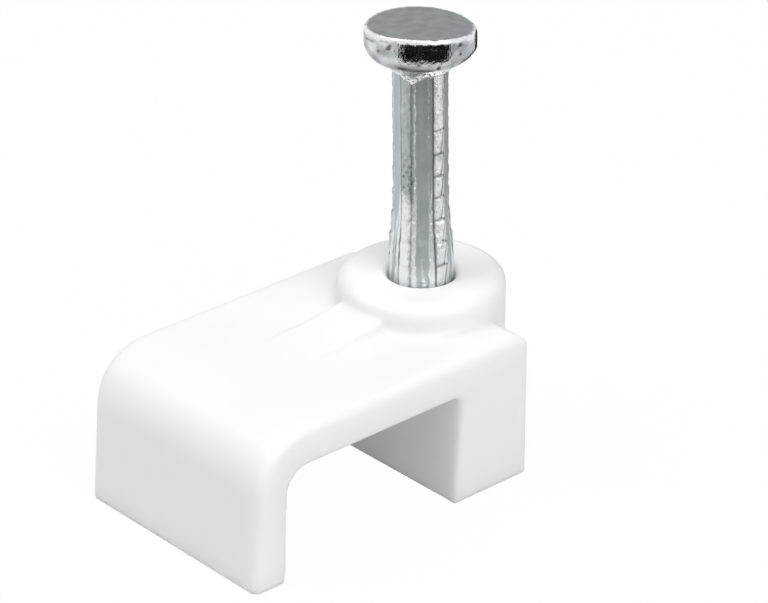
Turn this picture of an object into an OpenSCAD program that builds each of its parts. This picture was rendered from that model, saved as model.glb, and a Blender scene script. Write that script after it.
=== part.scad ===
// Nail-in cable clip: a moulded bridge that straps a flat cable to a wall, with its
// nail standing in the boss, ready to be driven.
//
// The origin is where the nail's axis meets the wall. Z runs out of the wall along
// the nail, Y runs along the cable, and -X points across the cable to the hook leg.

/* [Cable channel] */
// Clear width between the two legs, at the wall
channel_w = 8.15; // [5:0.05:14]
// Clear height from the wall to the underside of the roof
channel_h = 4.45; // [3:0.05:10]
// Radius of the inside corner under the shoulder
channel_hook_r = 1; // [0.3:0.05:1.4]
// Radius of the inside corner beside the nail block
channel_block_r = 0.4; // [0.2:0.05:1]

/* [Clip body] */
// Length of the clip along the cable
clip_l = 9.5; // [8:0.1:20]
// Thickness of the roof over the cable
roof_t = 1.5; // [1:0.05:3]
// Thickness of the hook leg at its foot
hook_t = 1.45; // [1:0.05:3]
// Thickness of the nail block at its foot
block_t = 3.75; // [3:0.05:6]
// Lean of the hook leg's outer face, out towards its foot, in degrees
hook_out_lean = 4.5; // [1:0.5:8]
// Lean of the hook leg's inner face, in degrees
hook_in_lean = 2; // [0.5:0.5:4]
// Lean of the nail block's channel face, in degrees
block_lean = 4; // [0.5:0.5:6]
// Outside radius of the shoulder between the roof and the hook leg
shoulder_r = 2.2; // [1:0.05:3]
// Radius along the top of the end face
end_r = 0.9; // [0.1:0.05:1.2]
// Round-over along the outer edges of both open ends
edge_r = 0.4; // [0.1:0.05:0.6]

/* [Nail boss] */
// Diameter of the boss and of the post under it
boss_d = 6.3; // [5:0.1:8]
// Height of the boss over the roof
boss_h = 1.1; // [0.9:0.05:3]
// Round on the boss's outer top edge
boss_r = 0.5; // [0.2:0.05:0.8]
// Fillet where the boss stands on the roof
boss_fillet = 0.2; // [0.1:0.05:0.6]
// Distance from the end face to the nail's axis, at the wall
nail_inset = 1.15; // [0.5:0.05:1.5]
// Round on the lip of the nail hole
mouth_r = 0.3; // [0.1:0.05:0.5]
// Width of the fairing that runs from the boss down to the roof
ramp_w = 2.2; // [1:0.1:3]
// Height of the fairing where it leaves the boss
ramp_h = 0.44; // [0.2:0.02:0.8]
// Length of the fairing along the roof
ramp_l = 3.6; // [1:0.1:5]

/* [Nail] */
// Diameter of the plain shank
nail_d = 2; // [1.6:0.05:2.4]
// Length of the nail over everything
nail_l = 16; // [12:0.5:30]
// Length of the point
point_l = 3; // [1.5:0.1:4]
// Diameter of the head
head_d = 4.1; // [3.6:0.05:5]
// Radius of the head's lower edge
head_r = 0.5; // [0.2:0.05:0.7]
// Radius of the head's upper edge
crown_r = 0.15; // [0.05:0.05:0.2]
// Slope of the head's underside, in degrees from level
head_slope = 45; // [30:1:60]
// Number of barbed strips round the shank
strip_count = 5; // [3:1:6]
// Angle that one barbed strip covers, in degrees
strip_angle = 30; // [15:1:45]
// Depth of the flats between the strips
flat_depth = 0.06; // [0.02:0.01:0.1]
// Number of barbs along a strip
barb_count = 10; // [3:1:12]
// Distance from one barb to the next
barb_pitch = 0.89; // [0.5:0.01:1.2]
// Height of the lowest barb over the plain shank
barb_h = 0.22; // [0.05:0.01:0.3]
// Length of a barb's steep side, towards the head
barb_rise = 0.11; // [0.05:0.01:0.3]
// Distance from the head's top to the first barb
barb_start = 3.9; // [3:0.1:8]

/* [Fit] */
// Gap all round between the barbs and the hole
hole_gap = 0.05; // [0.02:0.01:0.1]
// Distance that the point stays back from the wall before the nail is driven
point_back = 1; // [0.2:0.05:2]

/* [Hidden] */
$fn = 96;
// How far a cutter runs past what it cuts, and an added piece into what it stands on
OVER = 1;
ROOT = 0.3;
// Step and lap of two blended pieces where their faces would only just touch
HAIR = 0.002;
LAP = 0.03;

// Faces across the clip, at the wall
end_x = nail_inset;
block_x = end_x - block_t;
hook_in_x = block_x - channel_w;
hook_out_x = hook_in_x - hook_t;

roof_z = channel_h + roof_t;
boss_top = roof_z + boss_h;
boss_rad = boss_d / 2;
shank_rad = nail_d / 2;
hole_rad = shank_rad + barb_h + hole_gap;
nail_top = point_back + nail_l;

// Centre of the round under the head, where that round ends, and where the shank begins
rim = [head_d / 2 - head_r, nail_top - head_r];
under = rim + head_r * [sin(head_slope), -cos(head_slope)];
neck_z = under[1] - (under[0] - shank_rad) * tan(head_slope);

// Point on a leg's face at height z; the lean is positive towards +X
function on_face(foot_x, lean, z) = [foot_x + z * tan(lean), z];

// Centre of a circle that touches a leaning face and the level line z, from below it.
// Side is 1 where the circle lies on the face's +X side and -1 on its -X side.
function corner_centre(foot_x, lean, z, r, side) =
    [on_face(foot_x, lean, z - r)[0] + side * r / cos(lean), z - r];

shoulder = corner_centre(hook_out_x, hook_out_lean, roof_z, shoulder_r, 1);
hook_corner = corner_centre(hook_in_x, hook_in_lean, channel_h, channel_hook_r, 1);
block_corner = corner_centre(block_x, block_lean, channel_h, channel_block_r, -1);

// Stands an outline up across the cable, with its length along it
module along_cable(length) {
    rotate([90, 0, 0]) linear_extrude(length, center = true) children();
}

// Section of the strap from the shoulder's axis out, with both outer edges rounded
module strap_section(grow = 0) {
    reach = shoulder_r + grow;
    half_l = clip_l / 2 + grow;
    translate([0, -half_l]) square([reach - edge_r, 2 * half_l]);
    translate([0, edge_r - half_l]) square([reach, 2 * (half_l - edge_r)]);
    for (side = [-1, 1]) translate([reach - edge_r, side * (half_l - edge_r)]) circle(edge_r);
}

// Bend between the roof and the hook leg
module shoulder_bend() {
    rotate([90, 0, 0]) translate(shoulder) rotate(90)
        rotate_extrude(angle = 90 - hook_out_lean) strap_section();
}

// Hook leg, carried on below the wall
module hook_leg() {
    rotate([90, 0, 0]) translate(shoulder) rotate(-hook_out_lean) translate([0, LAP, 0])
        rotate([90, 0, 0]) linear_extrude(LAP + shoulder[1] + OVER) mirror([1, 0]) strap_section(HAIR);
}

// Roof, from the shoulder to the end face
module roof() {
    translate([shoulder[0], 0, shoulder[1]]) rotate([90, 0, 90])
        linear_extrude(end_x - shoulder[0]) rotate(90) strap_section();
}

// Block under the roof at the nail's end, with spare at the channel's side
module nail_block() {
    translate([block_x - ROOT, -clip_l / 2, 0]) cube([block_t + ROOT, clip_l, roof_z - edge_r]);
}

// What a round-over takes off an edge whose round has its centre at the origin
module edge_waste(r) {
    difference() {
        square(r + OVER);
        circle(r + HAIR);
    }
}

// Round-overs up the end face's two sides and along its top
module end_waste() {
    for (side = [0, 1]) mirror([0, side, 0]) translate([end_x - edge_r, clip_l / 2 - edge_r, -OVER])
        linear_extrude(roof_z + 2 * OVER) edge_waste(edge_r);
    translate([end_x - end_r, 0, roof_z - end_r]) along_cable(clip_l + 2 * OVER) edge_waste(end_r);
}

// Hook leg, shoulder, roof and nail block, before the channel is cut
module bridge() {
    difference() {
        union() {
            shoulder_bend();
            hook_leg();
            roof();
            nail_block();
        }
        end_waste();
    }
}

// Outline of the channel, carried on below the wall
module channel_outline() {
    polygon([
        on_face(hook_in_x, hook_in_lean, -OVER),
        on_face(hook_in_x, hook_in_lean, hook_corner[1]),
        [hook_corner[0], channel_h],
        [block_corner[0], channel_h],
        on_face(block_x, block_lean, block_corner[1]),
        on_face(block_x, block_lean, -OVER)
    ]);
    translate(hook_corner) circle(channel_hook_r + HAIR);
    translate(block_corner) circle(channel_block_r + HAIR);
}

// Channel for the cable, open at the wall and at both ends
module channel() {
    along_cable(clip_l + 2 * OVER) channel_outline();
}

// Everything beyond the wall's face
module wall_side() {
    translate([hook_out_x - OVER, -clip_l, -2 * OVER])
        cube([hook_t + channel_w + block_t + boss_d, 2 * clip_l, 2 * OVER]);
}

// Round post that carries the nail, from the wall to the top of the boss
module nail_post() {
    rotate_extrude() {
        square([boss_rad, boss_top - boss_r]);
        square([boss_rad - boss_r, boss_top]);
        translate([boss_rad - boss_r, boss_top - boss_r]) intersection() {
            circle(boss_r);
            square(boss_r);
        }
    }
}

// Fillet between the boss and the roof, which stops short of the end face
module boss_foot() {
    intersection() {
        rotate_extrude() difference() {
            translate([boss_rad - ROOT, roof_z - ROOT]) square([boss_fillet + ROOT, boss_fillet + ROOT]);
            translate([boss_rad + boss_fillet, roof_z + boss_fillet]) circle(boss_fillet);
        }
        translate([-boss_d, -boss_d, 0]) cube([boss_d + end_x - end_r, 2 * boss_d, boss_top]);
    }
}

// Fairing from the boss down to the roof, on the side of the cable
module ramp() {
    slope = ramp_h / ramp_l;
    inner_x = -boss_rad + boss_r;
    foot_x = -boss_rad - ramp_l;
    along_cable(ramp_w) polygon([
        [inner_x, roof_z - ROOT],
        [inner_x, roof_z + slope * (inner_x - foot_x)],
        [foot_x - ROOT / slope, roof_z - ROOT]
    ]);
}

// Hole for the nail, with its rounded lip
module nail_hole() {
    lip = [hole_rad + mouth_r, boss_top - mouth_r];
    translate([0, 0, -OVER]) cylinder(r = hole_rad, h = boss_top + 2 * OVER);
    rotate_extrude() difference() {
        translate([0, lip[1]]) square([lip[0], mouth_r + OVER]);
        translate(lip) circle(mouth_r + HAIR);
    }
}

module clip_body() {
    color("white") difference() {
        union() {
            bridge();
            nail_post();
            boss_foot();
            ramp();
        }
        wall_side();
        channel();
        nail_hole();
    }
}

// Half outline of the nail, from the point up to the head
module nail_outline() {
    crown = [head_d / 2 - crown_r, nail_top - crown_r];
    polygon([
        [0, point_back],
        [shank_rad, point_back + point_l],
        [shank_rad, neck_z],
        under,
        [head_d / 2, rim[1]],
        [head_d / 2, crown[1]],
        [crown[0], nail_top],
        [0, nail_top]
    ]);
    translate(rim) circle(head_r);
    translate(crown) circle(crown_r);
}

// What the drawing die takes off between two strips, from the point to the neck
module flat_waste() {
    start_z = point_back + point_l;
    translate([shank_rad - flat_depth, -shank_rad, start_z])
        cube([shank_rad, nail_d, neck_z - start_z]);
}

// Saw-tooth half outline of the barbs: each rises towards the head and grows towards the point
module barb_outline() {
    root_rad = shank_rad - ROOT;
    top_z = nail_top - barb_start;
    teeth = [
        for (i = [0 : barb_count - 1])
            let (z = top_z - i * barb_pitch, crest = shank_rad + barb_h * (i + 1) / barb_count)
                each [[shank_rad, z], [crest, z - barb_rise]]
    ];
    end_z = top_z - barb_count * barb_pitch;
    polygon(concat([[root_rad, top_z]], teeth, [[shank_rad, end_z], [root_rad, end_z]]));
}

// Wedge that keeps one barbed strip out of the full ring of barbs
module strip_wedge() {
    half_w = head_d * tan(strip_angle / 2);
    linear_extrude(nail_top) polygon([[0, 0], [head_d, -half_w], [head_d, half_w]]);
}

module nail() {
    strip_turn = 360 / strip_count;
    color("silver") {
        difference() {
            rotate_extrude() nail_outline();
            for (i = [0 : strip_count - 1]) rotate((i + 0.5) * strip_turn - 90) flat_waste();
        }
        intersection() {
            rotate_extrude() barb_outline();
            for (i = [0 : strip_count - 1]) rotate(i * strip_turn - 90) strip_wedge();
        }
    }
}

clip_body();
nail();
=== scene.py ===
"""Looks of the nail-in cable clip: a white moulded bridge with a barbed, zinc-plated nail in its boss.

Lengths are in metres and angles in degrees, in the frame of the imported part: Z runs out of the wall along
the nail, Y along the cable, and -X across the cable to the hook leg. The studio is set for the
photograph's view.
"""

import logging
import math
from dataclasses import dataclass, replace
from enum import Enum
from typing import Any

import bmesh
import bpy
from mathutils import Matrix, Vector, noise


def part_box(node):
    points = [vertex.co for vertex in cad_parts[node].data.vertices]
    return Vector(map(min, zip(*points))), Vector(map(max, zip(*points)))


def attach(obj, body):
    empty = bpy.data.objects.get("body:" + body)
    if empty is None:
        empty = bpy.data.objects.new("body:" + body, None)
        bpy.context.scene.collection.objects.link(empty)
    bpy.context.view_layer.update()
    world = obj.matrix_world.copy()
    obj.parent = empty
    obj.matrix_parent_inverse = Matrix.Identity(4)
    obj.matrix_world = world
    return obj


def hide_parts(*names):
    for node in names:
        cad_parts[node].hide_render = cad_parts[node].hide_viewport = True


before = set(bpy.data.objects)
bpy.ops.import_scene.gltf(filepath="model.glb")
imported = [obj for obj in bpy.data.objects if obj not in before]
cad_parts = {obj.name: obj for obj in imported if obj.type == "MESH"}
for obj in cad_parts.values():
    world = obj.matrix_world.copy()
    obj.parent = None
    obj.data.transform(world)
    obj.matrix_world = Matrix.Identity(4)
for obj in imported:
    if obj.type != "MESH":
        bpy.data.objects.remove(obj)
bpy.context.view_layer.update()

MM = 0.001
SHANK_RADIUS = 1.0 * MM
ARC_STEP = 7.5
WHITE = (1.0, 1.0, 1.0)

Band = tuple[float, float]
Point = tuple[float, float]
Triple = tuple[float, float, float]

log = logging.getLogger("cable_clip")


class Body(Enum):
    """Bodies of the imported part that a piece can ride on."""

    CLIP = "clip"
    NAIL = "nail"


class Slot(Enum):
    """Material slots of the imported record."""

    PLASTIC = "clip_plastic"
    ZINC = "nail_zinc"


class SeenBy(Enum):
    """Rays that see the white background at full strength."""

    CAMERA = "Is Camera Ray"
    GLOSSY = "Is Glossy Ray"
    TRANSMISSION = "Is Transmission Ray"


def clamp(value: float) -> float:
    """Holds a value between 0 and 1."""
    return min(1.0, max(0.0, value))


def smooth_step(low: float, high: float, value: float) -> float:
    """Rises from 0 at low to 1 at high, level at both ends.

    Args:
        low: value at which the step begins; it may lie above high for a falling step.
        high: value at which the step ends.
        value: where the step is read.

    Returns:
        The height of the step, from 0 to 1.
    """
    share = clamp((value - low) / (high - low))
    return share * share * (3 - 2 * share)


def opaque(colour: Triple) -> tuple[float, float, float, float]:
    """Gives a colour full cover."""
    return (*colour, 1.0)


@dataclass(frozen=True)
class Value:
    """An output socket of a node tree, on which arithmetic adds Math nodes."""

    graph: "Graph"
    socket: bpy.types.NodeSocket

    def _math(self, operation: str, first: "Value | float", second: "Value | float") -> "Value":
        """Adds one Math node that works on two values."""
        return self.graph.node("ShaderNodeMath", {"operation": operation}, {0: first, 1: second})

    def __add__(self, other: "Value | float") -> "Value":
        """Adds another value or number."""
        return self._math("ADD", self, other)

    def __radd__(self, other: float) -> "Value":
        """Adds this value to a number."""
        return self._math("ADD", other, self)

    def __sub__(self, other: "Value | float") -> "Value":
        """Takes another value or number away."""
        return self._math("SUBTRACT", self, other)

    def __rsub__(self, other: float) -> "Value":
        """Takes this value from a number."""
        return self._math("SUBTRACT", other, self)

    def __mul__(self, other: "Value | float") -> "Value":
        """Multiplies by another value or number."""
        return self._math("MULTIPLY", self, other)

    def __rmul__(self, other: float) -> "Value":
        """Multiplies a number by this value."""
        return self._math("MULTIPLY", other, self)

    def at_most(self, other: "Value | float") -> "Value":
        """Keeps the lesser of this and another value."""
        return self._math("MINIMUM", self, other)


class Graph:
    """A node tree that is filled node by node."""

    def __init__(self, tree: bpy.types.NodeTree) -> None:
        """Empties the tree that is to be filled."""
        self.tree = tree
        tree.nodes.clear()

    def node(self, kind: str, settings: dict[str, Any] | None = None,
             inputs: dict[int | str, Any] | None = None, output: int | str = 0) -> Value:
        """Adds a node.

        Args:
            kind: Blender's type name of the node.
            settings: the node's own settings.
            inputs: values or links of its input sockets, by name or number.
            output: the output socket that is handed back.

        Returns:
            The chosen output of the new node.
        """
        made = self.tree.nodes.new(kind)
        for name, setting in (settings or {}).items():
            setattr(made, name, setting)
        for key, value in (inputs or {}).items():
            if isinstance(value, Value):
                self.tree.links.new(value.socket, made.inputs[key])
            else:
                made.inputs[key].default_value = value
        return Value(self, made.outputs[output] if made.outputs else None)

    def place(self, scale: Triple) -> Value:
        """Object coordinates, stretched by a scale along each axis."""
        where = self.node("ShaderNodeTexCoord", output="Object")
        return self.node("ShaderNodeMapping", inputs={"Vector": where, "Scale": scale})

    def attribute(self, name: str) -> Value:
        """Reads one of the piece's own attributes."""
        return self.node("ShaderNodeAttribute", {"attribute_name": name}, output="Fac")

    def cloud(self, size: float, detail: float = 3.0, stretch: Triple = (1, 1, 1)) -> Value:
        """Soft noise from 0 to 1.

        Args:
            size: length of one cloud.
            detail: octaves of finer clouds in it.
            stretch: share of the frequency along each axis; below 1 draws the clouds out.

        Returns:
            The noise value.
        """
        inputs = {"Vector": self.place(stretch), "Scale": 1 / size, "Detail": detail}
        return self.node("ShaderNodeTexNoise", {"noise_dimensions": "3D"}, inputs, "Fac")

    def between(self, value: Value, low: float, high: float) -> Value:
        """Maps 0 to 1 onto low to high, held at both ends."""
        return self.node("ShaderNodeMapRange", inputs={"Value": value, "To Min": low, "To Max": high})

    def step(self, value: Value, low: float, high: float) -> Value:
        """Rises smoothly from 0 where a value is low to 1 where it is high."""
        return self.node("ShaderNodeMapRange", {"interpolation_type": "SMOOTHSTEP"},
                         {"Value": value, "From Min": low, "From Max": high})

    def blend(self, share: Value, first: Any, second: Any) -> Value:
        """Blends two colours by a share."""
        settings = {"data_type": "RGBA", "blend_type": "MIX"}
        return self.node("ShaderNodeMix", settings, {0: share, 6: first, 7: second}, 2)

    def bump(self, height: Value, depth: float, strength: float) -> Value:
        """Normal of a surface whose relief is depth high."""
        return self.node("ShaderNodeBump", inputs={"Strength": strength, "Distance": depth, "Height": height})

    def show(self, shader: Value) -> None:
        """Makes a shader the surface of the material."""
        self.node("ShaderNodeOutputMaterial", inputs={"Surface": shader})


def new_material(name: str) -> tuple[bpy.types.Material, Graph]:
    """Starts an empty material.

    Args:
        name: the material's name.

    Returns:
        The material and the graph of its nodes.
    """
    material = bpy.data.materials.new(name)
    material.use_nodes = True
    return material, Graph(material.node_tree)


@dataclass(frozen=True)
class MouldedPlastic:
    """White, softly shining moulded plastic with faint flow clouds and a fine mould grain."""

    name: str = "moulded_plastic"
    colour: Triple = (0.865, 0.865, 0.86)
    flow_colour: Triple = (0.853, 0.854, 0.849)
    flow_size: float = 3.5 * MM
    flow_band: Band = (0.35, 0.75)
    sheen_size: float = 0.875 * MM
    roughness: Band = (0.34, 0.46)
    grain_size: float = 0.11 * MM
    grain_depth: float = 0.003 * MM
    grain_strength: float = 0.35
    soft_detail: float = 2.0
    refraction: float = 1.49
    glow_depth: float = 1.0 * MM
    glow_share: float = 0.7
    glow_reach: Triple = (1.0, 0.95, 0.9)

    def material(self) -> bpy.types.Material:
        """Makes the material.

        Returns:
            The finished material.
        """
        made, graph = new_material(self.name)
        flow = graph.step(graph.cloud(self.flow_size, self.soft_detail), *self.flow_band)
        grain = graph.cloud(self.grain_size, self.soft_detail)
        shader = graph.node("ShaderNodeBsdfPrincipled", {"subsurface_method": "RANDOM_WALK"}, {
            "Base Color": graph.blend(flow, opaque(self.colour), opaque(self.flow_colour)),
            "Roughness": graph.between(graph.cloud(self.sheen_size), *self.roughness),
            "Normal": graph.bump(grain, self.grain_depth, self.grain_strength),
            "IOR": self.refraction,
            "Subsurface Weight": self.glow_share,
            "Subsurface Radius": self.glow_reach,
            "Subsurface Scale": self.glow_depth,
        })
        graph.show(shader)
        return made


@dataclass(frozen=True)
class ZincPlate:
    """Bluish zinc plate: dull where the wire was drawn, bright where the dies pressed and wore it.

    The piece's attributes say where it is bright from wear or from painted highlights, where it is dirty or
    painted with shade, and where it is mirror-smooth.
    """

    name: str = "zinc_plate"
    rub_and_highlight: str = "rub_and_highlight"
    soil_and_shade: str = "soil_and_shade"
    polish: str = "polish"
    drawn: Triple = (0.42, 0.465, 0.48)
    cloudy: Triple = (0.49, 0.525, 0.535)
    # Colour of wear and of painted highlights.
    bright_wear_and_highlight: Triple = (0.80, 0.83, 0.85)
    # Colour of dirt and of painted shade.
    dirt_and_shade_colour: Triple = (0.035, 0.038, 0.04)
    cloud_size: float = 0.8 * MM
    cloud_detail: float = 4.0
    cloud_share: float = 0.6
    cloud_band: Band = (0.35, 0.65)
    streak_size: float = 0.12 * MM
    streak_stretch: Triple = (1, 1, 0.06)
    streak_relief: float = 0.15
    fleck_size: float = 0.13 * MM
    fleck_wear: float = 0.5
    fleck_relief: float = 0.4
    worn_or_highlit_band: Band = (0.25, 0.75)
    relief_depth: float = 0.05 * MM
    relief_strength: float = 0.8
    roughness: Band = (0.48, 0.3)
    polish_roughness: float = 0.13

    def material(self) -> bpy.types.Material:
        """Makes the material.

        Returns:
            The finished material.
        """
        made, graph = new_material(self.name)
        rub_and_highlight, soil_and_shade, polish = (graph.attribute(name) for name in (self.rub_and_highlight, self.soil_and_shade, self.polish))
        cloud = graph.cloud(self.cloud_size, self.cloud_detail)
        streak = graph.cloud(self.streak_size, stretch=self.streak_stretch)
        fleck = graph.cloud(self.fleck_size)
        # Wear and painted highlights brighten the zinc.
        worn_or_highlit = graph.step(rub_and_highlight + self.fleck_wear * (fleck - 0.5), *self.worn_or_highlit_band)
        bloom = graph.step(cloud * self.cloud_share + streak * (1 - self.cloud_share), *self.cloud_band)
        zinc = graph.blend(bloom, opaque(self.drawn), opaque(self.cloudy))
        plate = graph.blend(worn_or_highlit, zinc, opaque(self.bright_wear_and_highlight))
        dull = graph.between(worn_or_highlit, *self.roughness)
        relief = fleck * (self.fleck_relief + worn_or_highlit * (1 - polish)) + streak * self.streak_relief
        shader = graph.node("ShaderNodeBsdfPrincipled", inputs={
            # Dirt and painted shade darken the zinc towards black.
            "Base Color": graph.blend(soil_and_shade, plate, opaque(self.dirt_and_shade_colour)),
            "Metallic": 1.0,
            "Roughness": dull + polish * (self.polish_roughness - dull),
            "Normal": graph.bump(relief, self.relief_depth, self.relief_strength),
        })
        graph.show(shader)
        return made


@dataclass(frozen=True)
class WhitePaper:
    """White studio paper that keeps a soft shadow of what stands on it."""

    name: str = "white_paper"
    colour: Triple = (0.8, 0.8, 0.8)
    white_share: float = 0.975

    def material(self) -> bpy.types.Material:
        """Makes the material.

        Returns:
            The finished material.
        """
        made, graph = new_material(self.name)
        paper = graph.node("ShaderNodeBsdfDiffuse", inputs={"Color": opaque(self.colour)})
        white = graph.node("ShaderNodeEmission", inputs={"Color": opaque(WHITE), "Strength": 1.0})
        share = seen_white(graph) * self.white_share
        graph.show(graph.node("ShaderNodeMixShader", inputs={0: share, 1: paper, 2: white}))
        return made


@dataclass(frozen=True)
class BlackCard:
    """Matt black card that the metal mirrors."""

    name: str = "black_card"
    colour: Triple = (0.012, 0.012, 0.012)

    def material(self) -> bpy.types.Material:
        """Makes the material.

        Returns:
            The finished material.
        """
        made, graph = new_material(self.name)
        graph.show(graph.node("ShaderNodeBsdfDiffuse", inputs={"Color": opaque(self.colour)}))
        return made


def seen_white(graph: Graph) -> Value:
    """Says which rays see the background white.

    Args:
        graph: the graph that asks.

    Returns:
        1 for rays that see white, and 0 for those that carry the light.
    """
    camera, glossy, transmission = (graph.node("ShaderNodeLightPath", output=ray.value) for ray in SeenBy)
    return (camera + glossy + transmission).at_most(1.0)


def to_mesh(name: str, form: bmesh.types.BMesh) -> bpy.types.Mesh:
    """Turns a finished form into a mesh.

    Args:
        name: the mesh's name.
        form: the form, which is freed.

    Returns:
        The new mesh.
    """
    mesh = bpy.data.meshes.new(name)
    form.to_mesh(mesh)
    form.free()
    return mesh


def add_piece(name: str, mesh: bpy.types.Mesh, material: bpy.types.Material) -> bpy.types.Object:
    """Puts a finished mesh into the scene.

    Args:
        name: the piece's name.
        mesh: its mesh, in place.
        material: its finish.

    Returns:
        The new object, at the origin.
    """
    mesh.materials.clear()
    mesh.materials.append(material)
    piece = bpy.data.objects.new(name, mesh)
    bpy.context.scene.collection.objects.link(piece)
    return piece


@dataclass
class ClipMoulding:
    """The moulded bridge: hook leg, shoulder, roof, nail block and boss, each edge eased by the mould."""

    finish: MouldedPlastic
    node: str = "clip_body"
    name: str = "clip_moulding"
    merge_gap: float = 1e-4 * MM
    cell: float = 0.088 * MM
    ease_share: float = 0.5
    ease_passes: int = 4
    soft_passes: int = 14
    soft_reach: float = 0.55 * MM
    block_face: float = -2.45 * MM
    roof_under: float = 4.3 * MM
    foot_height: float = 0.176 * MM

    def build(self) -> bpy.types.Object:
        """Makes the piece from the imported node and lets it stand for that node.

        Returns:
            The finished piece.
        """
        form = bmesh.new()
        form.from_mesh(self._celled())
        bmesh.ops.transform(form, matrix=Matrix.Scale(MM, 4), verts=form.verts)
        self._ease(form, form.verts[:], self.ease_passes)
        self._ease(form, self._block_edges(form), self.soft_passes)
        mesh = to_mesh(self.name, form)
        mesh.shade_smooth()
        piece = add_piece(self.name, mesh, self.finish.material())
        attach(piece, Body.CLIP.value)
        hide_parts(self.node)
        return piece

    def _celled(self) -> bpy.types.Mesh:
        """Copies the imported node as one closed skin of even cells.

        Returns:
            The skin, in millimetres.
        """
        form = bmesh.new()
        form.from_mesh(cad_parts[self.node].data)
        bmesh.ops.remove_doubles(form, verts=form.verts, dist=self.merge_gap)
        bmesh.ops.transform(form, matrix=Matrix.Scale(1 / MM, 4), verts=form.verts)
        blank_name = self.name + "_blank"
        blank = bpy.data.objects.new(blank_name, to_mesh(blank_name, form))
        bpy.context.scene.collection.objects.link(blank)
        cells = blank.modifiers.new("cells", "REMESH")
        cells.mode = "VOXEL"
        cells.voxel_size = self.cell / MM
        celled = bpy.data.meshes.new_from_object(blank.evaluated_get(bpy.context.evaluated_depsgraph_get()))
        bpy.data.objects.remove(blank)
        return celled

    def _ease(self, form: bmesh.types.BMesh, verts: list[bmesh.types.BMVert], passes: int) -> None:
        """Rounds the edges among some vertices.

        Args:
            form: the form that they belong to.
            verts: the vertices.
            passes: how often they are eased; each pass rounds a little more.
        """
        for _ in range(passes):
            bmesh.ops.smooth_vert(form, verts=verts, factor=self.ease_share,
                                  use_axis_x=True, use_axis_y=True, use_axis_z=True)

    def _block_edges(self, form: bmesh.types.BMesh) -> list[bmesh.types.BMVert]:
        """Finds the upright edges of the nail block at the channel's two ends.

        Args:
            form: the celled form.

        Returns:
            The vertices along those edges.
        """
        low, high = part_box(self.node)
        return [
            vert for vert in form.verts
            if abs(vert.co.x - self.block_face) < self.soft_reach
            and high.y - abs(vert.co.y) < self.soft_reach
            and low.z + self.foot_height < vert.co.z < self.roof_under
        ]


@dataclass(frozen=True)
class Ragged:
    """Noise over the nail's skin: its strength, the size of its patches and its seed."""

    strength: float
    patch: float
    seed: float = 0.0

    def at(self, angle: float, height: float, radius: float = SHANK_RADIUS) -> float:
        """Reads the noise at a place on the nail.

        Args:
            angle: direction from the axis.
            height: place along the nail.
            radius: distance from the axis.

        Returns:
            A value between minus and plus the strength.
        """
        turn = math.radians(angle)
        reach = radius / self.patch
        where = Vector((math.cos(turn) * reach, math.sin(turn) * reach, height / self.patch + self.seed))
        return self.strength * noise.noise(where)


@dataclass(frozen=True)
class Press:
    """What the heading and barbing dies leave at a place on the nail, and the light and shade painted there.
    """

    radius: float
    rub_and_highlight: float = 0.0
    soil_and_shade: float = 0.0
    polish: float = 0.0


@dataclass(frozen=True)
class Border:
    """One border of a barbed strip: a painted shade line and a painted highlight ridge, in degrees past its
    edge.
    """

    shade_line_at: float
    line: float
    ridge_at: float
    ridge: float


@dataclass(frozen=True)
class Strip:
    """One barbed strip: its number, the depth of its barbs as a share, and where it turns bright."""

    number: int
    depth: float
    bright_below: float


@dataclass(frozen=True)
class Barb:
    """A place on a barb: its height, how far down the barb it is, and how deep in the groove over it."""

    lift: float = 0.0
    share: float = 0.0
    groove: float = 0.0


@dataclass(frozen=True)
class Spot:
    """A place on the shank: the nearest strip, how far across it the place lies, and how far it is raised."""

    angle: float
    height: float
    strip: Strip
    across: float
    half: float
    raised: float
    barb: Barb

    def past_edge(self) -> float:
        """Degrees from the strip's edge outwards."""
        return abs(self.across) - self.half


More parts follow.
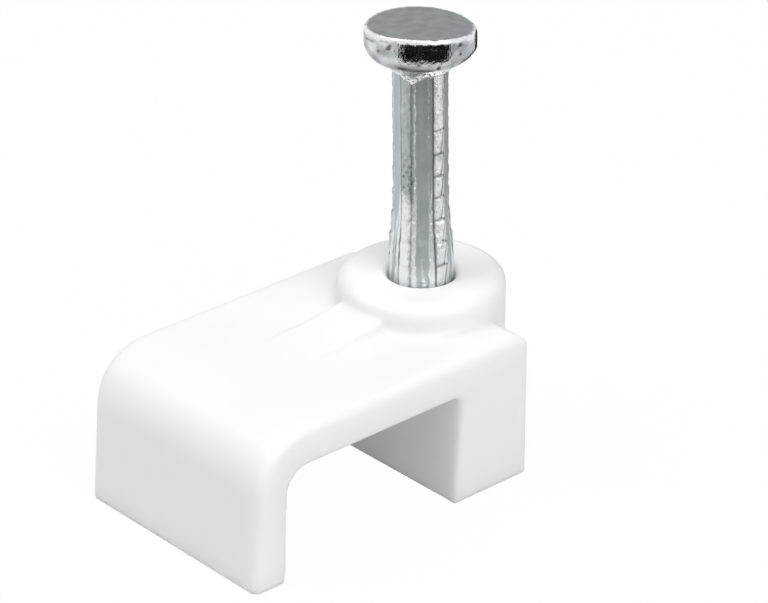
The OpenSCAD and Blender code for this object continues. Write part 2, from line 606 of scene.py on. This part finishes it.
@dataclass(frozen=True)
class BarbedShank:
    """The shank: flats, barbed strips between them, a swell at the boss, die wear, and painted light and
    shade.
    """

    top: float
    radius: float = SHANK_RADIUS
    most_radius: float = 1.21 * MM
    flat_depth: float = 0.06 * MM
    strips: tuple[Strip, ...] = (
        Strip(0, 1.0, 16.0 * MM),
        Strip(1, 0.8, 9.0 * MM),
        Strip(2, 0.6, 12.5 * MM),
        Strip(3, 0.9, 11.0 * MM),
        Strip(4, 0.2, 10.5 * MM),
    )
    strip_first: float = -90.0
    strip_half: float = 14.0
    strip_wall: float = 2.0
    strip_step: float = 0.03 * MM
    strip_edge: Ragged = Ragged(1.2, 0.25 * MM)
    crest_grain: Ragged = Ragged(0.024 * MM, 0.16 * MM)
    barb_start: float = 3.9 * MM
    barb_count: int = 10
    barb_pitch: float = 0.89 * MM
    barb_rise: float = 0.11 * MM
    barb_height: float = 0.2 * MM
    barb_growth: float = 1.7
    barb_taper: float = 0.55
    barb_wander: float = 0.09 * MM
    wander_length: float = 1.2 * MM
    wander_apart: float = 3.1
    wander_seed: float = 0.5
    groove_band: Band = (0.09 * MM, 0.02 * MM)
    groove_painted_shade: float = 0.6
    swell: float = 0.22 * MM
    swell_band: Band = (10.2 * MM, 6.8 * MM)
    swell_edge: Ragged = Ragged(0.3 * MM, 0.3 * MM)
    dull_rub: float = 0.1
    bright_rub: float = 0.55
    bright_soft: float = 0.3 * MM
    bright_edge: Ragged = Ragged(0.6 * MM, 0.3 * MM, 7)
    mottle: Ragged = Ragged(0.3, 0.22 * MM, 9)
    strip_painted_shading: float = 0.2
    smear_width: float = 13.0
    smear_least: float = 0.75
    smear_soft: float = 1.0
    smear_band: Band = (11.8 * MM, 8.0 * MM)
    smear_edge: Ragged = Ragged(0.5, 0.45 * MM, 3)
    streak_rub: float = 0.75
    streak_level: float = 0.5
    streak_length: float = 8.0
    streak_band: Band = (11.8 * MM, 6.8 * MM)
    streak: Ragged = Ragged(2.0, 0.2 * MM, 84.36)
    # Painted shade lines and painted highlight ridges beside the strips, on their left and right.
    left_border: Border = Border(2.0, 0.65, 11.0, 0.35)
    right_border: Border = Border(-4.0, 0.5, 3.0, 0.55)
    shade_line_band: Band = (3.0, 0.5)
    ridge_band: Band = (4.5, 1.0)
    chatter_soil: float = 0.5
    chatter_rise: float = 0.7 * MM
    chatter_reach: Band = (1.3 * MM, 0.4 * MM)
    chatter_band: Band = (0.05, 0.35)
    chatter: Ragged = Ragged(1.0, 0.11 * MM, 13)

    def press(self, angle: float, height: float) -> Press:
        """Reads the barbing dies at a place on the shank.

        Args:
            angle: direction from the axis.
            height: place along the nail.

        Returns:
            What the dies leave there.
        """
        spot = self._spot(angle, height)
        return Press(self._reach(spot), self._rub_and_highlight(spot), self._soil_and_shade(spot))

    @property
    def pitch(self) -> float:
        """Angle from one strip to the next."""
        return 360 / len(self.strips)

    def _spot(self, angle: float, height: float) -> Spot:
        """Finds the strip next to a place, and where the place lies on it.

        Args:
            angle: direction from the axis.
            height: place along the nail.

        Returns:
            The place as the dies see it.
        """
        turn = (angle - self.strip_first + self.pitch / 2) % 360
        strip = self.strips[int(turn // self.pitch)]
        across = turn % self.pitch - self.pitch / 2
        barb = self._barb(strip, height)
        half = self.strip_half
        if across > 0:
            half *= 1 - self.barb_taper * barb.share * strip.depth
        half += replace(self.strip_edge, seed=strip.number).at(angle, height)
        raised = smooth_step(half + self.strip_wall, half - self.strip_wall, abs(across))
        return Spot(angle, height, strip, across, half, raised, barb)

    def _barb(self, strip: Strip, height: float) -> Barb:
        """Reads the barbs of one strip.

        Args:
            strip: the strip.
            height: place along the nail.

        Returns:
            The barb at that height, which is level above the first and below the last one.
        """
        seed = Vector((strip.number * self.wander_apart, self.wander_seed, height / self.wander_length))
        down = self.top - self.barb_start - height + self.barb_wander * noise.noise(seed)
        tooth = math.floor(down / self.barb_pitch)
        if not 0 <= tooth < self.barb_count:
            return Barb()
        along = down - tooth * self.barb_pitch
        crest = self.barb_height * ((tooth + 1) / self.barb_count) ** self.barb_growth
        fall = (self.barb_pitch - along) / (self.barb_pitch - self.barb_rise)
        groove = smooth_step(*self.groove_band, min(along, self.barb_pitch - along))
        return Barb(crest * min(along / self.barb_rise, fall), along / self.barb_pitch, groove)

    def _reach(self, spot: Spot) -> float:
        """Says how far out the dies leave the skin.

        Args:
            spot: the place.

        Returns:
            Its distance from the axis.
        """
        slant = math.radians(self.pitch / 2 - abs(spot.across))
        flat = min((self.radius - self.flat_depth) / math.cos(slant), self.radius)
        crest = self.radius + self.strip_step + spot.barb.lift * spot.strip.depth
        crest += self.crest_grain.at(spot.angle, spot.height)
        level = spot.height + self.swell_edge.at(spot.angle, spot.height)
        swell = self.swell * smooth_step(*self.swell_band, level)
        return min(self.most_radius, flat * (1 - spot.raised) + crest * spot.raised + swell)

    def _rub_and_highlight(self, spot: Spot) -> float:
        """Says how bright the zinc is from wear and from painted highlights and shade at the strips.

        Args:
            spot: the place.

        Returns:
            A share from 0 to 1.
        """
        below = spot.strip.bright_below
        level = spot.height + self.bright_edge.at(spot.angle, spot.height)
        bright = smooth_step(below + self.bright_soft, below - self.bright_soft, level)
        strip_rub = self.dull_rub + self.bright_rub * bright + self.mottle.at(spot.angle, spot.height)
        streak = self.streak_level + self.streak.at(spot.angle, spot.height / self.streak_length)
        border = self._border(spot)
        rub_and_highlight = spot.raised * strip_rub + self._smear(spot)
        rub_and_highlight += self.streak_rub * smooth_step(*self.streak_band, spot.height) * max(0.0, streak)
        # Painted highlight on the ridge beside each strip.
        rub_and_highlight += border.ridge * smooth_step(*self.ridge_band, abs(spot.past_edge() - border.ridge_at))
        # Painted light and shade across each strip: lighter on one side, darker on the other.
        rub_and_highlight -= self.strip_painted_shading * spot.raised * spot.across / spot.half
        return clamp(rub_and_highlight)

    def _soil_and_shade(self, spot: Spot) -> float:
        """Says how dark the zinc is: painted shade beside the strips and in the grooves, dirt where the die
        chattered.

        Args:
            spot: the place.

        Returns:
            A share from 0 to 1.
        """
        border = self._border(spot)
        # Painted shade line beside each strip.
        wall = border.line * smooth_step(*self.shade_line_band, abs(spot.past_edge() - border.shade_line_at))
        away = abs(spot.height - spot.strip.bright_below - self.chatter_rise)
        chatter = smooth_step(*self.chatter_reach, away)
        chatter *= smooth_step(*self.chatter_band, self.chatter.at(spot.angle, spot.height))
        # Painted shade in the grooves between the barbs.
        groove = self.groove_painted_shade * spot.barb.groove * spot.strip.depth
        return clamp(wall + (groove + self.chatter_soil * chatter) * spot.raised)

    def _border(self, spot: Spot) -> Border:
        """Chooses the border of the strip that a place is next to."""
        return self.left_border if spot.across < 0 else self.right_border

    def _smear(self, spot: Spot) -> float:
        """Says how bright the metal is that the barbing die smeared out beside a strip, low on the shank.

        Args:
            spot: the place.

        Returns:
            A share from 0 to 1.
        """
        grown = smooth_step(*self.smear_band, spot.height)
        beside = -spot.across - self.strip_half - 2 * self.strip_wall
        if beside <= 0 or grown <= 0:
            return 0.0
        ragged = self.smear_least + self.smear_edge.at(spot.angle, spot.height)
        reach = self.smear_width * grown * ragged
        return smooth_step(reach + self.smear_soft, reach - self.smear_soft, beside)


def straight(start: Point, end: Point, row: float) -> list[Point]:
    """Points along a straight stretch of the outline.

    Args:
        start: its first point, as radius and height on the nail.
        end: its last point, which is left out.
        row: about how far apart the points are.

    Returns:
        The points.
    """
    count = max(1, round(math.dist(start, end) / row))
    stride = ((end[0] - start[0]) / count, (end[1] - start[1]) / count)
    return [(start[0] + stride[0] * i, start[1] + stride[1] * i) for i in range(count)]


def arc(centre: Point, reach: Point, first: float, last: float) -> list[Point]:
    """Points along a round or oval stretch of the outline.

    Args:
        centre: its centre, as radius and height on the nail.
        reach: its half width and half height.
        first: angle at which it begins, from level.
        last: angle at which it ends.

    Returns:
        The points, with both ends.
    """
    count = math.ceil((last - first) / ARC_STEP)
    turns = [math.radians(first + (last - first) * i / count) for i in range(count + 1)]
    return [(centre[0] + reach[0] * math.cos(turn), centre[1] + reach[1] * math.sin(turn)) for turn in turns]


@dataclass(frozen=True)
class NailHead:
    """The head: a dull, darkened flat top, a nicked rim and a polished, rounded flank with pits and stains.

    The rim is bright from wear and from a painted highlight, and shade is painted on the flank under it.
    """

    top: float
    radius: float
    neck_drop: float = 1.5 * MM
    crown_width: float = 0.1 * MM
    crown_height: float = 0.22 * MM
    crown_end: float = 70.0
    rim_radius: float = 0.65 * MM
    rim_drop: float = 0.62 * MM
    rim_turn: float = 55.0
    dent_broad: Ragged = Ragged(0.03 * MM, 0.7 * MM)
    dent_fine: Ragged = Ragged(0.006 * MM, 0.2 * MM)
    nick: Ragged = Ragged(1.0, 0.22 * MM, 8)
    nick_width: float = 0.07 * MM
    nick_drop: float = 0.14 * MM
    nick_depth: float = 0.02 * MM
    line_drop: float = 0.12 * MM
    line_soft: float = 0.04 * MM
    top_soft: float = 0.04 * MM
    top_darkening: float = 0.66
    top_darkening_mottle: Ragged = Ragged(0.1, 0.4 * MM, 2)
    flank_rub: float = 0.6
    flank_grain: Ragged = Ragged(0.6, 0.35 * MM, 5)
    pit_soil: float = 0.6
    pit_band: Band = (0.25, 0.55)
    pit: Ragged = Ragged(1.0, 0.16 * MM, 4)
    stain_soil: float = 0.45
    stain_band: Band = (-0.4, 0.4)
    stain: Ragged = Ragged(1.0, 0.4 * MM, 6)
    under_rim_painted_shade: float = 0.4
    under_drops: Band = (0.1 * MM, 0.35 * MM)

    @property
    def neck(self) -> float:
        """Height at which the head begins on the shank."""
        return self.top - self.neck_drop

    @property
    def rim(self) -> Point:
        """Centre of the flank's round, as radius and height."""
        return self.radius - self.rim_radius, self.top - self.rim_drop

    def flank_arc(self) -> list[Point]:
        """Outline of the flank's round, from below."""
        return arc(self.rim, (self.rim_radius, self.rim_radius), -self.rim_turn, 0)

    def crown_arc(self) -> list[Point]:
        """Outline of the eased edge between flank and top."""
        centre = (self.radius - self.crown_width, self.top - self.crown_height)
        return arc(centre, (self.crown_width, self.crown_height), 0, self.crown_end)

    def press(self, angle: float, height: float, radius: float) -> Press:
        """Reads the heading die at a place on the head.

        Args:
            angle: direction from the axis.
            height: place along the nail.
            radius: distance from the axis before the die comes down.

        Returns:
            What the die leaves there.
        """
        nick = self.nick.at(angle, 0.0, self.radius)
        on_top = self._on_top(height, radius, nick)
        line = self.top - self.line_drop - self.nick_drop * nick
        edge = smooth_step(line - self.line_soft, line + self.line_soft, height)
        dent = self.dent_broad.at(angle, 0.0) + self.dent_fine.at(angle, height)
        dent += self.nick_depth * edge * min(0.0, nick)
        flank = self.flank_rub + self.flank_grain.at(angle, height)
        # The rim's edge is bright from wear and from a painted highlight.
        rub_and_highlight = (flank * (1 - edge) + edge) * (1 - on_top)
        # The flat top is darkened towards black, more in some patches than in others.
        top_darkening = self.top_darkening + self.top_darkening_mottle.at(angle, 0.0, radius)
        soil_and_shade = on_top * top_darkening + (1 - on_top) * self._flank_soil_and_shade(angle, height, edge)
        return Press(radius + dent * (1 - on_top), clamp(rub_and_highlight), clamp(soil_and_shade), 1 - on_top)

    def _on_top(self, height: float, radius: float, nick: float) -> float:
        """Says how far a place belongs to the flat top, inside its nicked rim.

        Args:
            height: place along the nail.
            radius: distance from the axis.
            nick: how far the rim is nicked there.

        Returns:
            A share from 0 to 1.
        """
        if height <= self.top - self.crown_height:
            return 0.0
        rim = self.crown_width * math.cos(math.radians(self.crown_end)) + self.radius - self.crown_width
        rim += self.nick_width * nick
        return smooth_step(rim, rim - self.top_soft, radius)

    def _flank_soil_and_shade(self, angle: float, height: float, edge: float) -> float:
        """Says how far pits and stains, and painted shade under the rim, darken the flank.

        Args:
            angle: direction from the axis.
            height: place along the nail.
            edge: how far the place belongs to the bright edge, which has no pits or stains.

        Returns:
            A share that may pass 1.
        """
        pits = self.pit_soil * smooth_step(*self.pit_band, self.pit.at(angle, height))
        stains = self.stain_soil * smooth_step(*self.stain_band, self.stain.at(angle, height))
        start, end = (self.rim[1] - drop for drop in self.under_drops)
        # Painted shade on the flank just under the rim.
        return (pits + stains) * (1 - edge) + self.under_rim_painted_shade * smooth_step(start, end, height)


@dataclass(frozen=True)
class NailCollar:
    """The ragged collar that the heading die squeezed over the neck, with a bright hem and a pointed tip.

    The hem is bright from wear and from a painted highlight, and shade is painted under its lip.
    """

    neck: float
    shank: BarbedShank
    height: float = 0.14 * MM
    drop: float = 0.47 * MM
    tip: float = -149.0
    spread: float = 26.0
    shoulder: float = 0.42
    edge: Ragged = Ragged(0.06 * MM, 0.3 * MM, 11)
    lip: Band = (-0.08 * MM, 0.04 * MM)
    lip_painted_shade: float = 0.7
    lip_share: float = 0.5
    hem: Band = (0.2 * MM, 0.04 * MM)
    flat_share: float = 0.25
    bright_band: Band = (0.24 * MM, 0.14 * MM)
    dull_rub: float = 0.3

    def press(self, angle: float, height: float) -> Press:
        """Reads the collar at a place on the neck.

        Args:
            angle: direction from the axis.
            height: place along the nail.

        Returns:
            What the collar leaves there, with a radius of 0 where there is no collar.
        """
        away = abs((angle - self.tip + 180) % 360 - 180)
        point = max(0.0, 1 - away / self.spread)
        drop = self.drop * (self.shoulder + (1 - self.shoulder) * point) + self.edge.at(angle, 0.0)
        over = height - (self.neck - drop)
        if over < self.lip[0] or over > drop + self.height:
            return Press(0.0)
        swell = smooth_step(*self.lip, over)
        hem = smooth_step(*self.hem, over)
        raised = self.shank.flat_depth + self.height * (self.flat_share + (1 - self.flat_share) * hem)
        radius = self.shank.radius - self.shank.flat_depth + raised * swell
        # The hem is bright from wear and from a painted highlight.
        rub_and_highlight = self.dull_rub + (1 - self.dull_rub) * smooth_step(*self.bright_band, over)
        # Painted shade under the collar's lip.
        return Press(radius, rub_and_highlight, self.lip_painted_shade * smooth_step(self.lip_share, 0.0, swell))


@dataclass
class BarbedNail:
    """The nail: a cold-headed wire with a barbed shank and a ragged collar, a little askew in its hole.

    Its tilt, roll, droop and lean are taken as seen from the direction that it faces.
    """

    finish: ZincPlate
    node: str = "nail"
    name: str = "barbed_nail"
    steps: int = 216
    row: float = 0.055 * MM
    point_row: float = 0.3 * MM
    merge_gap: float = 1e-3 * MM
    point_length: float = 3.0 * MM
    boss_top: float = 7.05 * MM
    facing: float = -131.85
    lean: float = 0.5
    head_tilt: float = 5.0
    head_roll: float = 2.1
    head_droop: float = 0.12 * MM
    stiff_length: float = 0.5 * MM

    def __post_init__(self) -> None:
        """Takes the nail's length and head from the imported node."""
        low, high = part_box(self.node)
        self.tip = low.z
        self.head = NailHead(high.z, high.x)
        self.shank = BarbedShank(high.z)
        self.collar = NailCollar(self.head.neck, self.shank)

    def build(self) -> bpy.types.Object:
        """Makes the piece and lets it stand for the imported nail.

        Returns:
            The finished piece.
        """
        form = bmesh.new()
        self._turn(form)
        self._press(form)
        self._bend(form)
        bmesh.ops.recalc_face_normals(form, faces=form.faces)
        mesh = to_mesh(self.name, form)
        mesh.shade_smooth()
        piece = add_piece(self.name, mesh, self.finish.material())
        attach(piece, Body.NAIL.value)
        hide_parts(self.node)
        return piece

    def _outline(self) -> list[Point]:
        """Draws the half outline of the plain nail, in rows that are fine enough to press.

        Returns:
            Its points from the tip to the middle of the top, as radius and height.
        """
        shoulder = (self.shank.radius, self.tip + self.point_length)
        neck = (self.shank.radius, self.head.neck)
        flank = self.head.flank_arc()
        crown = self.head.crown_arc()
        middle = (0, crown[-1][1])
        return [
            *straight((0, self.tip), shoulder, self.point_row),
            *straight(shoulder, neck, self.row),
            *straight(neck, flank[0], self.row),
            *flank,
            *straight(flank[-1], crown[0], self.row),
            *crown,
            *straight(crown[-1], middle, 2 * self.row),
            middle,
        ]

    def _turn(self, form: bmesh.types.BMesh) -> None:
        """Turns the plain nail from its half outline.

        Args:
            form: the empty form that it is turned in.
        """
        first, *others = self._outline()
        vert = form.verts.new((first[0], 0, first[1]))
        for radius, height in others:
            vert = bmesh.ops.extrude_vert_indiv(form, verts=[vert])["verts"][0]
            vert.co = (radius, 0, height)
        bmesh.ops.spin(form, geom=form.verts[:] + form.edges[:], cent=(0, 0, 0), axis=(0, 0, 1),
                       angle=2 * math.pi, steps=self.steps, use_merge=True)
        bmesh.ops.remove_doubles(form, verts=form.verts, dist=self.merge_gap)

    def _press(self, form: bmesh.types.BMesh) -> None:
        """Presses flats, strips, barbs, head and collar into the wire, and marks how they leave the zinc,
        with painted light and shade.

        Args:
            form: the turned nail.
        """
        rub_and_highlight = form.verts.layers.float.new(self.finish.rub_and_highlight)
        soil_and_shade = form.verts.layers.float.new(self.finish.soil_and_shade)
        polish = form.verts.layers.float.new(self.finish.polish)
        for vert in form.verts:
            if vert.co.z < self.tip + self.point_length:
                continue
            radius = math.hypot(vert.co.x, vert.co.y)
            shape = self._shape(math.degrees(math.atan2(vert.co.y, vert.co.x)), vert.co.z, radius)
            vert[rub_and_highlight] = shape.rub_and_highlight
            vert[soil_and_shade] = shape.soil_and_shade
            vert[polish] = shape.polish
            if radius > self.row:
                vert.co.xy *= shape.radius / radius

    def _shape(self, angle: float, height: float, radius: float) -> Press:
        """Reads the dies above the point; the collar covers what lies under it.

        Args:
            angle: direction from the axis.
            height: place along the nail.
            radius: distance from the axis on the turned nail.

        Returns:
            What the dies leave there.
        """
        on_shank = height < self.head.neck
        shape = self.shank.press(angle, height) if on_shank else self.head.press(angle, height, radius)
        collar = self.collar.press(angle, height)
        return collar if collar.radius > shape.radius else shape

    def _bend(self, form: bmesh.types.BMesh) -> None:
        """Sets the upper head askew and leans the nail in its hole, as heading and handling leave them.

        Args:
            form: the pressed nail.
        """
        front = Vector((math.cos(math.radians(self.facing)), math.sin(math.radians(self.facing)), 0))
        right = Vector((-front.y, front.x, 0))
        tilt = front * math.tan(math.radians(self.head_tilt))
        slant = tilt - right * math.tan(math.radians(self.head_roll))
        for vert in form.verts:
            share = smooth_step(self.head.neck + self.stiff_length, self.head.rim[1], vert.co.z)
            droop = self.head_droop * (vert.co.dot(right) / self.head.radius) ** 2
            vert.co.z += share * (vert.co.dot(slant) - droop)
        bmesh.ops.rotate(form, cent=(0, 0, self.boss_top), verts=form.verts,
                         matrix=Matrix.Rotation(math.radians(self.lean), 3, front))


def direction(azimuth: float, elevation: float) -> Vector:
    """Direction from the object to a place around it.

    Args:
        azimuth: angle round the object, from 0 in front of it at -Y.
        elevation: angle over the floor.

    Returns:
        A unit vector.
    """
    turn, rise = math.radians(azimuth), math.radians(elevation)
    return Vector((math.sin(turn) * math.cos(rise), -math.cos(turn) * math.cos(rise), math.sin(rise)))


@dataclass(frozen=True)
class Lamp:
    """A soft box of the studio, aimed at the clip."""

    name: str
    azimuth: float
    elevation: float
    distance: float
    size: tuple[float, float]
    power: float

    def add(self, target: Vector) -> None:
        """Hangs the lamp.

        Args:
            target: the place that it is turned to.
        """
        data = bpy.data.lights.new(self.name, "AREA")
        data.shape = "RECTANGLE"
        data.size, data.size_y = self.size
        data.energy = self.power
        lamp = bpy.data.objects.new(self.name, data)
        away = direction(self.azimuth, self.elevation)
        lamp.location = target + away * self.distance
        lamp.rotation_euler = away.to_track_quat("Z", "Y").to_euler()
        bpy.context.scene.collection.objects.link(lamp)


@dataclass
class Studio:
    """Paper, cards, light and camera at the photograph's view."""

    paper: WhitePaper
    card: BlackCard
    paper_side: float = 4.0
    sky_strength: float = 0.17
    card_azimuths: tuple[Band, ...] = ((-84.0, 21.0), (95.0, 150.0))
    card_distances: Band = (18.0 * MM, 110.0 * MM)
    card_height: float = 0.5 * MM
    card_segments: int = 24
    camera_azimuth: float = -41.851
    camera_elevation: float = 27.521
    camera_distance: float = 136.212 * MM
    camera_target: Triple = (-1.872 * MM, 0.0, 6.368 * MM)
    camera_nearest: float = 1.0 * MM
    sensor_width: float = 36.0
    focal_pixels: float = 3685.3
    image_width: int = 768
    lamps: tuple[Lamp, ...] = (
        Lamp("key_box", -128, 54, 0.35, (0.22, 0.22), 0.59),
        Lamp("front_box", -12, 58, 0.35, (0.25, 0.25), 0.66),
        Lamp("low_box", 5, 25, 0.35, (0.25, 0.25), 0.31),
        Lamp("back_box", 138, 38, 0.35, (0.25, 0.25), 0.09),
    )

    def build(self) -> None:
        """Sets up the paper, the cards, the sky, the lamps and the camera."""
        bpy.context.scene.view_settings.view_transform = "Standard"
        self._lay_paper()
        for azimuths in self.card_azimuths:
            self._lay_card(azimuths)
        self._light_sky()
        for lamp in self.lamps:
            lamp.add(Vector(self.camera_target))
        self._aim_camera()

    def _lay_paper(self) -> None:
        """Lays the paper under the feet of the clip."""
        form = bmesh.new()
        bmesh.ops.create_grid(form, x_segments=1, y_segments=1, size=self.paper_side / 2)
        add_piece("paper", to_mesh("paper", form), self.paper.material())

    def _lay_card(self, azimuths: Band) -> None:
        """Lays a black fan of card on the paper, which only reflections show.

        Args:
            azimuths: the fan's two sides.
        """
        form = bmesh.new()
        bmesh.ops.create_grid(form, x_segments=self.card_segments, y_segments=1, size=0.5)
        (left, right), (near, far) = azimuths, self.card_distances
        for vert in form.verts:
            azimuth = left + (right - left) * (vert.co.x + 0.5)
            vert.co = direction(azimuth, 0) * (near + (far - near) * (vert.co.y + 0.5))
            vert.co.z = self.card_height
        card = add_piece("card", to_mesh("card", form), self.card.material())
        card.visible_camera = False
        card.visible_diffuse = False
        card.visible_shadow = False
        card.visible_transmission = False

    def _light_sky(self) -> None:
        """Makes the sky white to the eye and dimmer as a light."""
        world = bpy.data.worlds.new("studio")
        world.use_nodes = True
        graph = Graph(world.node_tree)
        strength = graph.between(seen_white(graph), self.sky_strength, 1.0)
        sky = graph.node("ShaderNodeBackground", inputs={"Color": opaque(WHITE), "Strength": strength})
        graph.node("ShaderNodeOutputWorld", inputs={"Surface": sky})
        bpy.context.scene.world = world

    def _aim_camera(self) -> None:
        """Sets the camera where the photograph was taken from."""
        data = bpy.data.cameras.new("camera")
        data.sensor_width = self.sensor_width
        data.lens = self.focal_pixels / self.image_width * self.sensor_width
        data.clip_start = self.camera_nearest
        camera = bpy.data.objects.new("camera", data)
        away = direction(self.camera_azimuth, self.camera_elevation)
        camera.location = Vector(self.camera_target) + away * self.camera_distance
        camera.rotation_euler = away.to_track_quat("Z", "Y").to_euler()
        bpy.context.scene.collection.objects.link(camera)
        bpy.context.scene.camera = camera


def main() -> None:
    """Builds the clip, the nail and the studio, in that order."""
    logging.basicConfig(level=logging.INFO, format="%(name)s: %(message)s")
    for maker in (ClipMoulding(MouldedPlastic()), BarbedNail(ZincPlate())):
        piece = maker.build()
        log.info("%s stands for %s with %d faces", piece.name, maker.node, len(piece.data.polygons))
    Studio(WhitePaper(), BlackCard()).build()
    log.info("studio is set")


if __name__ == "__main__":
    main()
